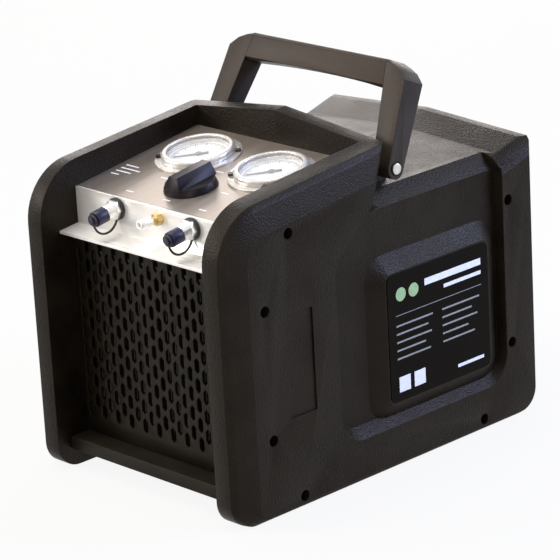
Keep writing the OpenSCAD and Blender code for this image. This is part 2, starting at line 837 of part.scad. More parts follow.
// Needle at its zero mark, pointing down and to the left
module gauge_needle(x) {
    needle_z = dial_z + dial_t + 0.6;
    needle_t = 0.8;
    color(rubber_color) on_panel(x, gauge_s) rotate(225) {
        translate([0, 0, post_top - 7]) cylinder(r = pin_r, h = needle_z + needle_t + 7 - post_top);
        translate([0, 0, needle_z]) cylinder(r = 3, h = needle_t + 0.4);
        translate([0, 0, needle_z]) linear_extrude(needle_t)
            polygon([[-9, -1.6], [-9, 1.6], [0, 1.2], [dial_r - 5, 0.35], [dial_r - 5, -0.35], [0, -1.2]]);
    }
}

module gauge_lens(x) {
    color([0.9, 0.95, 1, 0.35]) on_panel(x, gauge_s) translate([0, 0, case_rim])
        cylinder(r = case_r - screw_gap, h = lens_t);
}

module gauge_bezel(x) {
    top = case_rim + lens_t + bezel_t;
    color(nickel_color) on_panel(x, gauge_s) rotate_extrude() polygon([[case_r + run_fit, flange_t],
        [case_r + bezel_w, flange_t], [case_r + bezel_w, top - bezel_t], [case_r + bezel_w - bezel_t, top],
        [case_r - 2, top], [case_r - 2, top - bezel_t], [case_r + run_fit, top - bezel_t]]);
}

module gauge_case_left() { gauge_case(-gauge_x); }
module gauge_case_right() { gauge_case(gauge_x); }
module gauge_dial_left() { gauge_dial(-gauge_x); }
module gauge_dial_right() { gauge_dial(gauge_x); }
module gauge_needle_left() { gauge_needle(-gauge_x); }
module gauge_needle_right() { gauge_needle(gauge_x); }
module gauge_lens_left() { gauge_lens(-gauge_x); }
module gauge_lens_right() { gauge_lens(gauge_x); }
module gauge_bezel_left() { gauge_bezel(-gauge_x); }
module gauge_bezel_right() { gauge_bezel(gauge_x); }

module gauge_screws() {
    color(rubber_color) for (i = [-1, 1]) on_panel(i * gauge_x, gauge_s) flange_screw_places() {
        translate([0, 0, -sheet - 4]) cylinder(r = flange_screw_r, h = sheet + 4 + flange_t + past);
        translate([0, 0, flange_t]) cylinder(r = 2.6, h = 1.8);
    }
}

// Selector knob: a tapered skirt with a wedge-shaped grip bar across it
module selector_knob() {
    foot = 0.6;
    color(rubber_color) on_panel(0, knob_s) difference() {
        union() {
            translate([0, 0, foot]) cylinder(r1 = knob_r, r2 = knob_r - 2, h = skirt_h - foot);
            hull() {
                translate([-bar_w / 2, 2 - knob_r, skirt_h - past]) cube([bar_w, 2 * knob_r - 4, past]);
                translate([-bar_w / 4, 6 - knob_r, knob_h - past]) cube([bar_w / 2, 2 * knob_r - 8, past]);
            }
        }
        translate([0, 0, -past]) cylinder(r = stem_r + run_fit, h = knob_h - 5);
    }
}

module valve_stem() {
    color(steel_color) on_panel(0, knob_s) translate([0, 0, -20]) cylinder(r = stem_r, h = 20 + knob_h - 7);
}

module valve_block() {
    bonnet_r = 15;
    color(brass_color) difference() {
        union() {
            block([-valve_half, valve_y, valve_z], [valve_half, valve_y + valve_l, valve_z + valve_h]);
            on_panel(0, knob_s) translate([0, 0, -16]) cylinder(r = bonnet_r, h = 16 - sheet);
        }
        on_panel(0, knob_s) translate([0, 0, -21]) cylinder(r = stem_r + run_fit, h = far);
    }
}

module inlet_filter() {
    color(brass_color) y_rod(-port_x, valve_y - filter_l, valve_y, port_z, filter_r);
}

module outlet_check_valve() {
    color(brass_color) translate([port_x, valve_y, port_z]) rotate([90, 0, 0])
        cylinder(r = filter_r + 1, h = filter_l, $fn = 6);
}

module pressure_switch() {
    color(dark_steel_color) {
        x_rod(valve_half, valve_half + 10, valve_y + valve_l / 2, valve_z + valve_h / 2, 9);
        x_rod(valve_half + 10 - past, valve_half + 20, valve_y + valve_l / 2, valve_z + valve_h / 2, 7);
    }
}

// Outer and inner edge of a handle arm, w up from the pivot
function arm_outer(w) = arm_out - w * tan(cant_out);
function arm_inner(w) = arm_out - arm_w - w * tan(cant_in);

module handle_arm() {
    low = -arm_r - past;
    shoulder = grip_top - chamfer_w;
    corner_x = arm_inner(grip_top) + chamfer_x;
    knee_x = arm_outer(shoulder) + (corner_x - arm_outer(shoulder)) * 0.36;
    color(handle_color) on_handle() difference() {
        union() {
            intersection() {
                y_prism(-far / 8, far / 8)
                    polygon([[arm_inner(low), low], [arm_outer(low), low], [arm_outer(shoulder), shoulder],
                        [knee_x, shoulder + chamfer_w * 0.53], [corner_x, grip_top],
                        [arm_inner(grip_top), grip_top]]);
                x_prism(0, far) {
                    circle(arm_r);
                    polygon([[-arm_r, 0], [-grip_front, grip_top - grip_ease], [grip_ease - grip_front, grip_top],
                        [grip_rear - grip_ease, grip_top], [grip_rear, grip_top - grip_ease], [arm_r, 0]]);
                }
            }
            x_rod(lug_x + fit, arm_inner(0) + past, 0, 0, arm_r - 1);
        }
        x_rod(lug_x - past, far, 0, 0, bolt_r + run_fit);
        x_rod(spot_x, far, 0, 0, spot_r);
    }
}

module handle_arm_right() { handle_arm(); }
module handle_arm_left() { mirror([1, 0, 0]) handle_arm(); }

// Grip with an arched underside and eased edges
module handle_grip() {
    half = arm_inner(grip_low);
    top_half = arm_inner(grip_top);
    arch_r = (half * half + grip_arch * grip_arch) / (2 * grip_arch);
    back = arm_r + (grip_rear - arm_r) * grip_low / grip_top;
    front = arm_r + (grip_front - arm_r) * grip_low / grip_top;
    color(handle_color) on_handle() intersection() {
        y_prism(-far / 8, far / 8) difference() {
            polygon([[-half, grip_low], [half, grip_low], [top_half, grip_top], [-top_half, grip_top]]);
            translate([0, grip_low + grip_arch - arch_r]) circle(arch_r, $fn = grip_fn);
        }
        x_prism(-far / 2, far / 2)
            polygon([[-front, grip_low + grip_ease], [grip_ease - front, grip_low], [back - grip_ease, grip_low],
                [back, grip_low + grip_ease], [grip_rear, grip_top - grip_ease], [grip_rear - grip_ease, grip_top],
                [grip_ease - grip_front, grip_top], [-grip_front, grip_top - grip_ease]]);
    }
}

module pivot_bolts() {
    head_r = 4.9;
    head_h = 2.6;
    color(steel_color) for (m = [0, 1]) mirror([m, 0, 0]) {
        x_rod(lug_x - lug_w, spot_x + past, pivot_y, pivot_z, bolt_r);
        x_rod(spot_x + screw_gap, spot_x + screw_gap + head_h, pivot_y, pivot_z, head_r);
    }
}

module side_label() {
    long = pad_l / 2 - label_gap;
    tall = pad_w / 2 - label_gap;
    corner = pad_r - label_gap;
    color(rubber_color) x_prism(pad_x, pad_x + label_t) {
        translate([pad_y - long, pad_z - tall + corner]) square([2 * long, 2 * (tall - corner)]);
        translate([pad_y - long + corner, pad_z - tall]) square([2 * (long - corner), 2 * tall]);
        for (i = [-1, 1], j = [-1, 1])
            translate([pad_y + i * (long - corner), pad_z + j * (tall - corner)]) circle(corner);
    }
}

// Condenser: a core with upright fins cut into its front
module condenser_core() {
    fin_pitch = 5;
    fin_t = 1.6;
    fin_d = 6;
    fins = floor(2 * coil_half / fin_pitch);
    color(cast_color) difference() {
        block([-coil_half, coil_y, tray_top], [coil_half, coil_y + coil_d, tray_top + coil_h]);
        for (i = [0:fins - 1])
            block([-coil_half + fin_t + i * fin_pitch, coil_y - past, tray_top + fin_d],
                [-coil_half + (i + 1) * fin_pitch, coil_y + fin_d, tray_top + coil_h - fin_d]);
    }
}

// The condenser's return bends at both ends
module condenser_bends() {
    pass_pitch = (coil_h - 20) / passes;
    bend_r = pass_pitch / 2;
    color(copper_color) for (m = [0, 1]) mirror([m, 0, 0]) for (i = [0:passes / 2 - 1])
        translate([coil_half, coil_y + coil_d / 2, tray_top + 10 + pass_pitch * (2 * i + 1)])
            rotate([90, 0, 0]) rotate(-90) rotate_extrude(angle = 180) translate([bend_r, 0]) circle(tube_r);
}

module fan_shroud() {
    collar = 16;
    ring_r = fan_edge + 2;
    color(dark_steel_color) difference() {
        union() {
            block([-coil_half, shroud_y, tray_top], [coil_half, shroud_y + sheet, tray_top + coil_h]);
            y_rod(0, shroud_y, shroud_y + collar, shaft_z, ring_r + sheet);
        }
        y_rod(0, shroud_y - past, shroud_y + collar + past, shaft_z, ring_r);
    }
}

// Fan: a hub on the shaft with pitched blades
module fan_rotor() {
    hub_r = 20;
    pitch = 32;
    blade_w = 27;
    blade_t = 2.4;
    color(rubber_color) difference() {
        union() {
            y_rod(0, fan_y, fan_y + fan_l, shaft_z, hub_r);
            intersection() {
                y_rod(0, fan_y - past, fan_y + fan_l + past, shaft_z, fan_edge);
                translate([0, fan_y + fan_l / 2, shaft_z])
                    for (i = [0:blades - 1]) rotate([0, i * 360 / blades, 0])
                    rotate([0, 0, pitch]) translate([-blade_w / 2, -blade_t / 2, hub_r - 3])
                        cube([blade_w, blade_t, fan_edge]);
            }
        }
        y_rod(0, fan_y - past, fan_y + fan_l + past, shaft_z, shaft_r + run_fit);
    }
}

module motor_body() {
    rib_t = 4;
    ribs = 9;
    first = motor_y + 5;
    pitch = (motor_l - 14) / (ribs - 1);
    color(dark_steel_color) difference() {
        union() {
            y_rod(0, motor_y, motor_end, shaft_z, motor_r - 2);
            for (i = [0:ribs - 1])
                y_rod(0, first + i * pitch, first + i * pitch + rib_t, shaft_z, motor_r);
        }
        y_rod(0, motor_y - past, motor_end + past, shaft_z, shaft_r + run_fit);
    }
}

module motor_shaft() {
    color(steel_color) y_rod(0, fan_y - 3, crank_y + 24, shaft_z, shaft_r);
}

module motor_mount() {
    half = 30;
    color(dark_steel_color) difference() {
        block([-half, motor_y + 14, tray_top], [half, motor_end - 14, shaft_z - motor_r / 2]);
        y_rod(0, motor_y, motor_end, shaft_z, motor_r + screw_gap);
        block([6 - half, motor_y, tray_top + 6], [half - 6, motor_end, shaft_z - motor_r - 8]);
    }
}

module crankcase() {
    half_h = 38;
    leg = 8;
    color(cast_color) difference() {
        union() {
            block([-case_half, crank_y, shaft_z - half_h], [case_half, crank_y + crank_l, shaft_z + half_h]);
            y_rod(0, motor_end, crank_y + past, shaft_z, 18);
            for (i = [-1, 1]) block([i * (case_half - leg) - leg, crank_y + 4, tray_top],
                [i * (case_half - leg) + leg, crank_y + crank_l - 4, shaft_z - half_h + past]);
        }
        y_rod(0, motor_end - past, crank_y + 25, shaft_z, shaft_r + run_fit);
    }
}

// Two opposed finned cylinders
module cylinders() {
    fins = 4;
    fin_t = 2.5;
    first = case_half + 2;
    pitch = (cylinder_l - 7) / (fins - 1);
    color(cast_color) for (m = [0, 1]) mirror([m, 0, 0]) {
        x_rod(case_half, head_x, crank_mid, shaft_z, cylinder_r);
        for (i = [0:fins - 1])
            x_rod(first + i * pitch, first + i * pitch + fin_t, crank_mid, shaft_z, cylinder_r + 6);
    }
}

module cylinder_heads() {
    color(cast_color) for (m = [0, 1]) mirror([m, 0, 0])
        block([head_x, crank_mid - head_half, shaft_z - head_half],
            [head_x + head_t, crank_mid + head_half, shaft_z + head_half]);
}

// A copper tube from the valve block back over the motor and down to a head
module gas_tube() {
    start = valve_y + valve_l;
    turn = crank_mid - elbow_r;
    color(copper_color) {
        y_rod(tube_x, start, turn, tube_z, tube_r);
        translate([tube_x + elbow_r, turn, tube_z]) rotate(90) rotate_extrude(angle = 90)
            translate([elbow_r, 0]) circle(tube_r);
        x_rod(tube_x + elbow_r, port_head_x - elbow_r, crank_mid, tube_z, tube_r);
        translate([port_head_x - elbow_r, crank_mid, tube_z - elbow_r]) rotate([90, 0, 0])
            rotate_extrude(angle = 90) translate([elbow_r, 0]) circle(tube_r);
        translate([port_head_x, crank_mid, shaft_z + head_half])
            cylinder(r = tube_r, h = tube_z - elbow_r - shaft_z - head_half);
    }
}

module suction_tube() { mirror([1, 0, 0]) gas_tube(); }
module discharge_tube() { gas_tube(); }

module run_capacitor() {
    can_h = 62;
    color(cast_color) translate([bay_x - capacitor_r - 14, y_r - heel_r - capacitor_r - 4, tray_top]) {
        cylinder(r = capacitor_r, h = can_h);
        for (i = [-1, 1]) translate([i * 6, 0, can_h - past]) cylinder(r = 2, h = 8);
    }
}

// Switched power inlet in the rear wall
rocker_half = 9;
rocker_tall = 8;
module power_inlet() {
    back = y_r - inlet_sink;
    color(rubber_color) difference() {
        union() {
            block([inlet_x - inlet_w / 2 + fit, back, inlet_z - inlet_h / 2 + fit],
                [inlet_x + inlet_w / 2 - fit, back + inlet_flange, inlet_z + inlet_h / 2 - fit]);
            block([inlet_x - inlet_body_w / 2, back - inlet_body_l, inlet_z - inlet_body_h / 2],
                [inlet_x + inlet_body_w / 2, back + past, inlet_z + inlet_body_h / 2]);
        }
        block([inlet_x - 11, back - 16, inlet_z - 20], [inlet_x + 11, y_r + past, inlet_z - 4]);
        block([inlet_x - rocker_half - fit, back - 10, rocker_z - rocker_tall - past],
            [inlet_x + rocker_half + fit, y_r + past, rocker_z + rocker_tall + past]);
        x_rod(inlet_x - rocker_half - 3, inlet_x + rocker_half + 3, rocker_y, rocker_z, 1.5 + run_fit);
    }
    color(nickel_color) for (i = [-1, 0, 1])
        block([inlet_x + i * 7 - 1, back - 17, inlet_z - 14 + (i == 0 ? 3 : 0)],
            [inlet_x + i * 7 + 1, back - 6, inlet_z - 10 + (i == 0 ? 3 : 0)]);
}

module power_rocker() {
    color(rubber_color) {
        x_rod(inlet_x - rocker_half - 3 + fit, inlet_x + rocker_half + 3 - fit, rocker_y, rocker_z, 1.5);
        translate([inlet_x, rocker_y, rocker_z]) rotate([rocker_tilt, 0, 0]) x_prism(-rocker_half, rocker_half)
            polygon([[-2, -4], [-2, 4], [5.4, rocker_tall - 1], [4.6, 0], [5.4, 1 - rocker_tall]]);
    }
}

left_shell();
right_shell();
shell_screws();
base_tray();
control_panel();
port_bracket();
front_grille();
inlet_port();
outlet_port();
inlet_cap();
outlet_cap();
inlet_strap();
outlet_strap();
relief_valve();
relief_cap();
gauge_case_left();
gauge_case_right();
gauge_dial_left();
gauge_dial_right();
gauge_needle_left();
gauge_needle_right();
gauge_lens_left();
gauge_lens_right();
gauge_bezel_left();
gauge_bezel_right();
gauge_screws();
selector_knob();
valve_stem();
valve_block();
inlet_filter();
outlet_check_valve();
pressure_switch();
handle_arm_left();
handle_arm_right();
handle_grip();
pivot_bolts();
side_label();
condenser_core();
condenser_bends();
fan_shroud();
fan_rotor();
motor_body();
motor_shaft();
motor_mount();
crankcase();
cylinders();
cylinder_heads();
suction_tube();
discharge_tube();
run_capacitor();
power_inlet();
power_rocker();
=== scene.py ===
import bpy
import numpy as np
from mathutils import Matrix


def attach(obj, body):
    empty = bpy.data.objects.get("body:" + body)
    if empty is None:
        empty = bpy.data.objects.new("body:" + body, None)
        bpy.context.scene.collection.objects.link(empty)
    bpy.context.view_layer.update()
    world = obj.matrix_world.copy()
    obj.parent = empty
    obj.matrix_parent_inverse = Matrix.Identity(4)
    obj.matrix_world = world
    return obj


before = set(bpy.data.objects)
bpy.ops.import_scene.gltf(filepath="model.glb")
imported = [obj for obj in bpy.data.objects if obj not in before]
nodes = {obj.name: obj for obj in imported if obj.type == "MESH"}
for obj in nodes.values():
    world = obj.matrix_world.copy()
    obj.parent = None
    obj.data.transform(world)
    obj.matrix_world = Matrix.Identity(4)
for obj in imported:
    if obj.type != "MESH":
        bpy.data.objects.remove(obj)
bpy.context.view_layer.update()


def new_group(name, inputs, outputs):
    """An empty shader node group with the named sockets, and its two end nodes."""
    tree = bpy.data.node_groups.new(name, "ShaderNodeTree")
    for label, kind, value in inputs:
        socket = tree.interface.new_socket(label, in_out="INPUT", socket_type=kind)
        socket.default_value = value
    for label, kind in outputs:
        tree.interface.new_socket(label, in_out="OUTPUT", socket_type=kind)
    return tree, tree.nodes.new("NodeGroupInput"), tree.nodes.new("NodeGroupOutput")


def noise(tree, vector, scale, detail, rough):
    """A noise texture read at a vector times a scale."""
    n = tree.nodes.new("ShaderNodeTexNoise")
    n.inputs["Detail"].default_value = detail
    n.inputs["Roughness"].default_value = rough
    tree.links.new(scale, n.inputs["Scale"])
    tree.links.new(vector, n.inputs["Vector"])
    return n.outputs["Fac"]


def feed(tree, socket, x):
    """Sets a socket to a number, or joins it to another node's outlet."""
    if isinstance(x, (int, float)):
        socket.default_value = x
    else:
        tree.links.new(x, socket)


def spread(tree, value, low, high, out_low, out_high):
    """A value carried from one range to another and held at the ends."""
    n = tree.nodes.new("ShaderNodeMapRange")
    labels = ("Value", "From Min", "From Max", "To Min", "To Max")
    for label, x in zip(labels, (value, low, high, out_low, out_high)):
        feed(tree, n.inputs[label], x)
    return n.outputs["Result"]


def maths(tree, kind, a, b):
    """One step of arithmetic on sockets or numbers."""
    n = tree.nodes.new("ShaderNodeMath")
    n.operation = kind
    for socket, x in zip(n.inputs, (a, b)):
        feed(tree, socket, x)
    return n.outputs[0]


def colour_mix(tree, fac, a, b):
    """A colour between two, by a factor."""
    n = tree.nodes.new("ShaderNodeMix")
    n.data_type = "RGBA"
    tree.links.new(fac, n.inputs["Factor"])
    for label, x in (("A", a), ("B", b)):
        socket = [i for i in n.inputs if i.name == label and i.type == "RGBA"][0]
        tree.links.new(x, socket)
    return [o for o in n.outputs if o.type == "RGBA"][0]


surface, group_in, group_out = new_group(
    "surface",
    [("Vector", "NodeSocketVector", (0, 0, 0)),
     ("Dark", "NodeSocketColor", (0, 0, 0, 1)), ("Light", "NodeSocketColor", (1, 1, 1, 1)),
     ("Patch Scale", "NodeSocketFloat", 30.0), ("Grain Scale", "NodeSocketFloat", 900.0),
     ("Rough Low", "NodeSocketFloat", 0.4), ("Rough High", "NodeSocketFloat", 0.5)],
    [("Color", "NodeSocketColor"), ("Roughness", "NodeSocketFloat"), ("Height", "NodeSocketFloat")])
patch_share = 0.7
blend_low, blend_high = 0.35, 0.65
patches = noise(surface, group_in.outputs["Vector"], group_in.outputs["Patch Scale"], 5.0, 0.6)
grain = noise(surface, group_in.outputs["Vector"], group_in.outputs["Grain Scale"], 2.0, 0.5)
blend = maths(surface, "ADD", maths(surface, "MULTIPLY", patches, patch_share),
              maths(surface, "MULTIPLY", grain, 1.0 - patch_share))
tone = spread(surface, blend, blend_low, blend_high, 0.0, 1.0)
gloss = spread(surface, blend, blend_low, blend_high,
               group_in.outputs["Rough Low"], group_in.outputs["Rough High"])
shade = colour_mix(surface, tone, group_in.outputs["Dark"], group_in.outputs["Light"])
surface.links.new(shade, group_out.inputs["Color"])
surface.links.new(gloss, group_out.inputs["Roughness"])
surface.links.new(grain, group_out.inputs["Height"])


def material(name, dark, light, rough, metallic=0.0, patch=30.0, grain=900.0, bump=0.0001,
             stretch=(1, 1, 1), specular=0.5, tint=(1, 1, 1)):
    """A surface whose colour and gloss drift in patches, with a fine grain in its relief."""
    m = bpy.data.materials.new(name)
    m.use_nodes = True
    tree = m.node_tree
    bsdf = tree.nodes["Principled BSDF"]
    coords = tree.nodes.new("ShaderNodeTexCoord")
    mapping = tree.nodes.new("ShaderNodeMapping")
    mapping.inputs["Scale"].default_value = stretch
    tree.links.new(coords.outputs["Object"], mapping.inputs["Vector"])
    g = tree.nodes.new("ShaderNodeGroup")
    g.node_tree = surface
    tree.links.new(mapping.outputs["Vector"], g.inputs["Vector"])
    g.inputs["Dark"].default_value = (*dark, 1)
    g.inputs["Light"].default_value = (*light, 1)
    g.inputs["Patch Scale"].default_value = patch
    g.inputs["Grain Scale"].default_value = grain
    g.inputs["Rough Low"].default_value, g.inputs["Rough High"].default_value = rough
    relief = tree.nodes.new("ShaderNodeBump")
    relief.inputs["Distance"].default_value = bump
    relief.inputs["Strength"].default_value = 1.0
    tree.links.new(g.outputs["Height"], relief.inputs["Height"])
    tree.links.new(g.outputs["Color"], bsdf.inputs["Base Color"])
    tree.links.new(g.outputs["Roughness"], bsdf.inputs["Roughness"])
    tree.links.new(relief.outputs["Normal"], bsdf.inputs["Normal"])
    bsdf.inputs["Metallic"].default_value = metallic
    bsdf.inputs["Specular IOR Level"].default_value = specular
    bsdf.inputs["Specular Tint"].default_value = (*tint, 1)
    return m


def paint(m, *names):
    """Gives CAD nodes one material in place of their own."""
    for name in names:
        data = nodes[name].data
        data.materials.clear()
        data.materials.append(m)


def ease(width, *names, angle=32.0, segments=3):
    """Rounds the sharp edges of CAD nodes: flats are joined, then each edge over
    the angle, in degrees, gets a radius of the width."""
    for name in names:
        o = nodes[name]
        weld = o.modifiers.new("weld", "WELD")
        weld.merge_threshold = 0.00002
        flat = o.modifiers.new("flat", "DECIMATE")
        flat.decimate_type = "DISSOLVE"
        flat.angle_limit = np.radians(0.6)
        bevel = o.modifiers.new("ease", "BEVEL")
        bevel.width = width
        bevel.segments = segments
        bevel.limit_method = "ANGLE"
        bevel.angle_limit = np.radians(angle)
        bevel.use_clamp_overlap = True
        bevel.harden_normals = True
        o.data.shade_smooth()


shell = material("shell_grain", (0.0028, 0.0019, 0.0012), (0.0105, 0.0076, 0.0050), (0.32, 0.48),
                 patch=26.0, grain=620.0, bump=0.0006, specular=0.15, tint=(1.0, 0.84, 0.71))
paint(shell, "left_shell", "right_shell")
ease(0.0022, "left_shell", "right_shell", angle=10.0)

# The machinery stands on a folded steel tray: fan and condenser in front, then
# the motor and the twin-cylinder compressor, all joined by copper tube. Only
# the condenser's fins and the shroud show, darkly, through the grille.
powder = material("powder_coat", (0.0090, 0.0070, 0.0042), (0.0150, 0.0115, 0.0075), (0.45, 0.58),
                  grain=1400.0, bump=0.0001, specular=0.12)
fins = material("bare_fins", (0.10, 0.10, 0.10), (0.18, 0.18, 0.18), (0.40, 0.55),
                metallic=1.0, patch=60.0, stretch=(1, 1, 0.1))
cast = material("sand_casting", (0.20, 0.205, 0.21), (0.32, 0.325, 0.33), (0.45, 0.62),
                metallic=1.0, grain=700.0, bump=0.0003)
copper = material("drawn_copper", (0.42, 0.19, 0.10), (0.62, 0.31, 0.18), (0.25, 0.42),
                  metallic=1.0, patch=80.0)
brass = material("forged_brass", (0.48, 0.33, 0.13), (0.68, 0.50, 0.23), (0.28, 0.42),
                 metallic=1.0, patch=70.0)
enamel = material("motor_enamel", (0.035, 0.038, 0.042), (0.060, 0.064, 0.070), (0.35, 0.5),
                  patch=40.0)
ground = material("ground_steel", (0.45, 0.45, 0.45), (0.62, 0.62, 0.61), (0.18, 0.3),
                  metallic=1.0, patch=60.0)
moulded = material("black_moulding", (0.011, 0.011, 0.012), (0.020, 0.020, 0.021), (0.38, 0.5),
                   grain=1200.0)
paint(powder, "base_tray", "motor_mount", "fan_shroud")
paint(fins, "condenser_core", "run_capacitor")
paint(cast, "crankcase", "cylinders", "cylinder_heads")
paint(copper, "condenser_bends", "suction_tube", "discharge_tube")
paint(brass, "valve_block", "inlet_filter", "outlet_check_valve", "relief_valve")
paint(enamel, "motor_body", "pressure_switch")
paint(ground, "motor_shaft", "valve_stem")
paint(moulded, "fan_rotor", "power_inlet", "power_rocker")
ease(0.0006, "base_tray", segments=2)

# Front: a punched grille in dark powder coat, its colour darkened further as painted shade from the
# bracket's tread above it, a stepped bracket folded from bright stainless sheet above it, and the
# sloping bronze-grey panel behind the bracket.
# The grille's two colours are darker than its black coat alone: painted shade for the shadow under
# the tread.
lattice = material("grille_coat_and_shade", (0.0040, 0.0030, 0.0017), (0.0082, 0.0063, 0.0036), (0.36, 0.48),
                   patch=50.0, grain=1500.0, specular=0.17, tint=(1.0, 0.86, 0.70))
stainless = material("satin_tin", (0.84, 0.82, 0.79), (0.93, 0.92, 0.90), (0.22, 0.34),
                     metallic=0.35, patch=9.0, grain=500.0, bump=0.00002, stretch=(0.05, 1, 1))
bronze = material("panel_bronze", (0.330, 0.280, 0.240), (0.450, 0.390, 0.340), (0.28, 0.38),
                  metallic=0.75, patch=12.0, grain=600.0, bump=0.00002, stretch=(1, 0.06, 0.06))
paint(lattice, "front_grille")
paint(stainless, "port_bracket")
paint(bronze, "control_panel")
ease(0.0005, "front_grille", segments=2)
ease(0.0010, "port_bracket", segments=2)

# Panel print: plain bars of white screen ink round the knob, over each port and in
# a block by the left wall, some hundredths of a millimetre thick.
tilt = np.radians(8.3)
panel_foot = np.array((0.0, -0.149, 0.254))
panel_axes = np.array(((1.0, 0.0, 0.0),
                       (0.0, np.cos(tilt), np.sin(tilt)),
                       (0.0, -np.sin(tilt), np.cos(tilt))))


def ink(name, loops, normal, m, body="housing", thick=0.00006):
    """Closed slabs raised on flat outlines: each outline is carried along the normal
    by the thickness, then its foot, its head and the strip between them are faced."""
    loops = np.asarray(loops, float)
    n, k = loops.shape[:2]
    points = np.concatenate((loops, loops + thick * np.asarray(normal)), axis=1).reshape(-1, 3)
    here = np.arange(n)[:, None] * 2 * k
    turn, ahead = np.arange(k), (np.arange(k) + 1) % k
    strip = here[:, :, None] + np.stack((turn, ahead, ahead + k, turn + k), -1)[None]
    foot, head = here + turn[::-1], here + k + turn
    faces = [*foot.tolist(), *head.tolist(), *strip.reshape(-1, 4).tolist()]
    data = bpy.data.meshes.new(name)
    data.from_pydata(points.tolist(), [], faces)
    data.materials.append(m)
    o = bpy.data.objects.new(name, data)
    bpy.context.scene.collection.objects.link(o)
    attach(o, body)


def bar_outlines(bars):
    """Rectangles from rows of centre u, centre v, length, width and turn: the half
    sizes are turned, then moved to the centre."""
    u, v, length, width, turn = np.asarray(bars, float).T
    corner = np.array(((-0.5, -0.5), (0.5, -0.5), (0.5, 0.5), (-0.5, 0.5)))
    a, b = corner[:, 0] * length[:, None], corner[:, 1] * width[:, None]
    c, d = np.cos(turn)[:, None], np.sin(turn)[:, None]
    return np.stack((u[:, None] + a * c - b * d, v[:, None] + a * d + b * c), -1)


def on_panel(flat, lift):
    """Points of the panel: across, up the slope, and a lift out of it."""
    return panel_foot + flat @ panel_axes[:2] + lift * panel_axes[2]


print_white = material("screen_white", (0.76, 0.75, 0.76), (0.88, 0.87, 0.88), (0.45, 0.6),
                       patch=200.0, grain=2500.0, bump=0.00001)
panel_lift = 0.00001
dash_length, dash_width = 0.009, 0.0017
dash_places = ((-0.046, 0.012), (0.0, 0.013), (0.046, 0.012),
               (-0.038, 0.046), (0.038, 0.046), (0.0, 0.077))
block_lengths = (0.016, 0.024, 0.019, 0.010)
block_left, block_top, block_pitch, block_width = -0.094, 0.052, 0.0062, 0.0019
marks = [(x, v, dash_length, dash_width, 0.0) for x, v in dash_places]
marks += [(block_left + w / 2, block_top - block_pitch * i, w, block_width, 0.0)
          for i, w in enumerate(block_lengths)]
ink("panel_print", on_panel(bar_outlines(marks), panel_lift), panel_axes[2], print_white)

# Ports: nickel-plated bodies under dark blue-black caps, each kept by a soft
# rubber strap, with a small brass relief fitting and its plated cap between them.
nickel = material("bright_nickel", (0.80, 0.79, 0.77), (0.93, 0.92, 0.90), (0.14, 0.28),
                  metallic=0.7, patch=60.0)
cap = material("cap_plastic", (0.010, 0.010, 0.034), (0.020, 0.020, 0.064), (0.30, 0.42),
               grain=1300.0, specular=0.35)
rubber = material("soft_rubber", (0.010, 0.010, 0.011), (0.020, 0.020, 0.021), (0.55, 0.7),
                  grain=1500.0)
paint(nickel, "inlet_port", "outlet_port", "relief_cap")
paint(cap, "inlet_cap", "outlet_cap")
paint(rubber, "inlet_strap", "outlet_strap")
ease(0.0006, "inlet_port", "outlet_port", "inlet_cap", "outlet_cap", "inlet_strap", "outlet_strap",
     "relief_cap", "relief_valve", segments=2)

# Gauges: polished cases and flanges screwed to the panel, white enamelled dials
# with printed scales, black needles and clear windows held by plated bezels.
plated = material("gauge_plate", (0.64, 0.61, 0.58), (0.76, 0.73, 0.70), (0.18, 0.32),
                  metallic=0.5, patch=40.0)
white = material("dial_white", (0.90, 0.90, 0.90), (0.95, 0.95, 0.95), (0.25, 0.4), patch=50.0)
black = material("needle_black", (0.008, 0.008, 0.008), (0.016, 0.016, 0.016), (0.3, 0.4),
                 patch=90.0)
screw = material("black_screw", (0.03, 0.03, 0.03), (0.06, 0.06, 0.06), (0.3, 0.45),
                 metallic=1.0, patch=90.0)
window = material("window", (0.92, 0.94, 0.95), (0.97, 0.98, 0.98), (0.02, 0.05),
                  patch=40.0, bump=0.0)
window.node_tree.nodes["Principled BSDF"].inputs["Alpha"].default_value = 0.16
for side in ("left", "right"):
    paint(plated, "gauge_case_" + side, "gauge_bezel_" + side)
    paint(white, "gauge_dial_" + side)
    paint(black, "gauge_needle_" + side)
    paint(window, "gauge_lens_" + side)
    ease(0.0005, "gauge_bezel_" + side, "gauge_case_" + side, segments=2)
paint(screw, "gauge_screws", "shell_screws")

# Dial print: a black scale of long and short strokes over three quarters of a
# turn, closed by a thin ring, pad-printed on each enamelled dial.
print_black = material("dial_ink", (0.010, 0.010, 0.010), (0.018, 0.018, 0.018), (0.4, 0.55),
                       patch=300.0, grain=2500.0, bump=0.00001)
stroke_count, stroke_group = 51, 5
scale_start, scale_end = 225.0, -45.0
scale_rim, track_rim = 0.0245, 0.0249
track_steps = 91
major_length, minor_length = 0.0046, 0.0026
major_width, minor_width = 0.0007, 0.0004
gauge_aside, gauge_up, dial_lift = 0.046, 0.095, 0.00111
sweep = np.radians(np.linspace(scale_start, scale_end, stroke_count))
major = np.arange(stroke_count) % stroke_group == 0
long = np.where(major, major_length, minor_length)
wide = np.where(major, major_width, minor_width)
radius = scale_rim - long / 2
strokes = np.stack((radius * np.cos(sweep), radius * np.sin(sweep), long, wide, sweep), -1)
fine = np.radians(np.linspace(scale_start, scale_end, track_steps))
circle = np.stack((np.cos(fine), np.sin(fine)), -1)
track = np.concatenate((scale_rim * circle, track_rim * circle[::-1]))[None]
for side, x in (("left", -gauge_aside), ("right", gauge_aside)):
    centre = np.array((x, gauge_up))
    for name, flat in (("dial_scale_", bar_outlines(strokes)), ("dial_track_", track)):
        ink(name + side, on_panel(flat + centre, dial_lift), panel_axes[2], print_black)

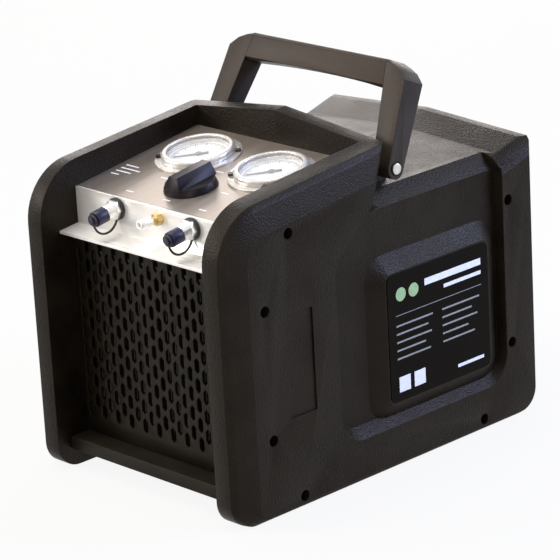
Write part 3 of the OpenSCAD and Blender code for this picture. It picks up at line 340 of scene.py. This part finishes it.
# Selector knob: a satin black moulding, a tapered skirt with a wedge-shaped bar,
# pressed on the valve stem.
satin = material("knob_satin", (0.0060, 0.0052, 0.0058), (0.0120, 0.0104, 0.0118), (0.30, 0.42),
                 grain=1600.0, bump=0.00006, specular=0.15, tint=(1.0, 0.84, 0.90))
paint(satin, "selector_knob")
ease(0.0016, "selector_knob")

# Handle: two arms and an arched grip in fine-grained dark plastic, hung on
# bright zinc-plated bolts.
taupe = material("handle_grain", (0.0165, 0.0124, 0.0098), (0.0340, 0.0260, 0.0210), (0.36, 0.48),
                 patch=22.0, grain=900.0, bump=0.0002, specular=0.18, tint=(1.0, 0.86, 0.76))
zinc = material("zinc_plate", (0.50, 0.48, 0.44), (0.70, 0.68, 0.63), (0.22, 0.36),
                metallic=1.0, patch=120.0)
paint(taupe, "handle_arm_left", "handle_arm_right", "handle_grip")
paint(zinc, "pivot_bolts")
ease(0.0022, "handle_arm_left", "handle_arm_right", "handle_grip")
ease(0.0005, "pivot_bolts", segments=2)

# Side label: a gloss black film stuck on the raised pad of the right shell.
# Its face is flat and its corners are rounded.
film = material("label_film", (0.0012, 0.0009, 0.0006), (0.0026, 0.0020, 0.0014), (0.28, 0.40),
                patch=20.0, bump=0.00001, specular=0.06, tint=(1.0, 0.86, 0.76))
paint(film, "side_label")

# Label print: plain bars, squares and discs of white, grey and green screen ink
# on the film, some hundredths of a millimetre thick.
label_face = 0.12811
outward = (1, 0, 0)
side_axes = np.array(((0.0, 1.0, 0.0), (0.0, 0.0, 1.0)))


def on_label(flat):
    """Points of the label's face: along the machine and up."""
    return flat @ side_axes + np.array((label_face, 0.0, 0.0))


grey_ink = material("label_grey", (0.22, 0.22, 0.21), (0.30, 0.30, 0.29), (0.4, 0.55),
                    patch=200.0, grain=2500.0, bump=0.00001)
green_ink = material("label_green", (0.26, 0.42, 0.19), (0.36, 0.54, 0.27), (0.35, 0.5),
                     patch=200.0, grain=2500.0, bump=0.00001)
title_bars = ((0.078, 0.160, 0.072, 0.0062, 0), (0.090, 0.150, 0.048, 0.0034, 0))
squares = ((0.013, 0.075, 0.014, 0.014, 0), (0.032, 0.075, 0.014, 0.014, 0))
foot_bar = (0.098, 0.071, 0.034, 0.0030, 0)
ink("label_title", on_label(bar_outlines([*title_bars, *squares, foot_bar])), outward, print_white)
line_lengths = (0.046, 0.040, 0.044, 0.036, 0.042, 0.048, 0.038, 0.045, 0.033, 0.041)
column_lines, column_left, column_pitch = 5, 0.005, 0.058
line_top, line_pitch, line_width = 0.129, 0.0075, 0.0016
lines = [(column_left + column_pitch * (i // column_lines) + w / 2,
          line_top - line_pitch * (i % column_lines), w, line_width, 0.0)
         for i, w in enumerate(line_lengths)]
thin_rule = (0.0595, 0.1385, 0.109, 0.0006, 0)
ink("label_lines", on_label(bar_outlines([*lines, thin_rule])), outward, grey_ink)
disc_radius, disc_step = 0.0062, 8.0
disc_centres = ((0.012, 0.157), (0.028, 0.157))
rim = np.radians(np.arange(0, 360, disc_step))
disc = disc_radius * np.stack((np.cos(rim), np.sin(rim)), -1)
discs = np.stack([disc + centre for centre in disc_centres])
ink("label_discs", on_label(discs), outward, green_ink)

# Stage: a pale floor, soft boxes above and to both sides, and a camera that
# stands where the photograph's did.
floor_half, glow_share = 6.0, 0.90


def seen(tree):
    """One for a ray that looks, mirrors or passes through glass, and zero for light
    that only spreads: the greatest of the three path marks."""
    path = tree.nodes.new("ShaderNodeLightPath")
    straight = maths(tree, "MAXIMUM", path.outputs["Is Camera Ray"], path.outputs["Is Glossy Ray"])
    return maths(tree, "MAXIMUM", straight, path.outputs["Is Transmission Ray"])


floor = bpy.data.meshes.new("floor")
corners = [(x * floor_half, y * floor_half, 0) for x, y in ((-1, -1), (1, -1), (1, 1), (-1, 1))]
floor.from_pydata(corners, [], [(0, 1, 2, 3)])
floor_o = bpy.data.objects.new("floor", floor)
bpy.context.scene.collection.objects.link(floor_o)
pale = bpy.data.materials.new("pale_floor")
pale.use_nodes = True
tree = pale.node_tree
bsdf = tree.nodes["Principled BSDF"]
bsdf.inputs["Base Color"].default_value = (0.60, 0.58, 0.55, 1)
bsdf.inputs["Roughness"].default_value = 0.8
glow = tree.nodes.new("ShaderNodeEmission")
glow.inputs["Strength"].default_value = 1.0
mix = tree.nodes.new("ShaderNodeMixShader")
tree.links.new(maths(tree, "MULTIPLY", seen(tree), glow_share), mix.inputs["Fac"])
tree.links.new(bsdf.outputs["BSDF"], mix.inputs[1])
tree.links.new(glow.outputs["Emission"], mix.inputs[2])
tree.links.new(mix.outputs["Shader"], tree.nodes["Material Output"].inputs["Surface"])
floor.materials.append(pale)

world = bpy.data.worlds.new("studio")
bpy.context.scene.world = world
world.use_nodes = True
tree = world.node_tree
sky = tree.nodes["Background"]
plain_sky, seen_sky = 0.25, 1.0
tree.links.new(spread(tree, seen(tree), 0.0, 1.0, plain_sky, seen_sky), sky.inputs["Strength"])
sky.inputs["Color"].default_value = (1, 1, 1, 1)


def soft_box(name, place, target, size, watts, colour):
    """A rectangular lamp that faces a point: its back lies on the line from the
    target to its place, and its right side is level."""
    light = bpy.data.lights.new(name, "AREA")
    light.shape = "RECTANGLE"
    light.size, light.size_y = size
    light.energy = watts
    light.color = colour
    o = bpy.data.objects.new(name, light)
    bpy.context.scene.collection.objects.link(o)
    back = np.array(place, float) - np.array(target, float)
    back /= np.linalg.norm(back)
    right = np.cross((0, 0, 1.0), back)
    right /= np.linalg.norm(right)
    axes = np.eye(4)
    axes[:3, 0], axes[:3, 1], axes[:3, 2], axes[:3, 3] = right, np.cross(back, right), back, place
    o.matrix_world = Matrix(axes.tolist())


soft_box("back_box", (-1.5, 1.5, 0.85), (0, 0.05, 0.2), (1.5, 0.8), 17.0, (1.0, 0.92, 0.88))
soft_box("top_box", (-0.3, -0.35, 1.9), (0, -0.1, 0.2), (1.2, 0.9), 22.0, (1.0, 0.96, 0.92))
soft_box("front_box", (-1.4, -1.4, 1.0), (0, -0.1, 0.2), (1.1, 0.8), 28.0, (1.0, 0.95, 0.90))
soft_box("blue_box", (1.3, 1.35, 1.2), (0, 0.05, 0.25), (0.9, 0.9), 50.0, (0.44, 0.58, 1.0))
soft_box("edge_box", (1.75, 0.95, 0.75), (0.1, -0.1, 0.28), (0.4, 0.4), 6.0, (0.46, 0.58, 1.0))
soft_box("fill_box", (1.6, -1.9, 0.6), (0.1, 0, 0.15), (0.8, 0.8), 11.0, (1.0, 0.88, 0.74))

# The camera's back is set by azimuth and elevation, its right is level, and both
# right and up are turned by the roll.
azimuth, elevation, roll = np.radians((46.65, 18.52, -3.15))
camera_place = (1.8956, -1.7985, 1.0229)
sensor, focal_pixels, picture_pixels = 36.0, 3100, 560
back = np.array((np.sin(azimuth) * np.cos(elevation),
                 -np.cos(azimuth) * np.cos(elevation),
                 np.sin(elevation)))
right = np.array((np.cos(azimuth), np.sin(azimuth), 0.0))
up = np.cross(back, right)
axes = np.eye(4)
axes[:3, 0] = np.cos(roll) * right + np.sin(roll) * up
axes[:3, 1] = np.cos(roll) * up - np.sin(roll) * right
axes[:3, 2] = back
axes[:3, 3] = camera_place
camera = bpy.data.cameras.new("camera")
camera.sensor_width = sensor
camera.lens = sensor * focal_pixels / picture_pixels
camera_o = bpy.data.objects.new("camera", camera)
camera_o.matrix_world = Matrix(axes.tolist())
bpy.context.scene.collection.objects.link(camera_o)
bpy.context.scene.camera = camera_o
bpy.context.scene.view_settings.view_transform = "Standard"
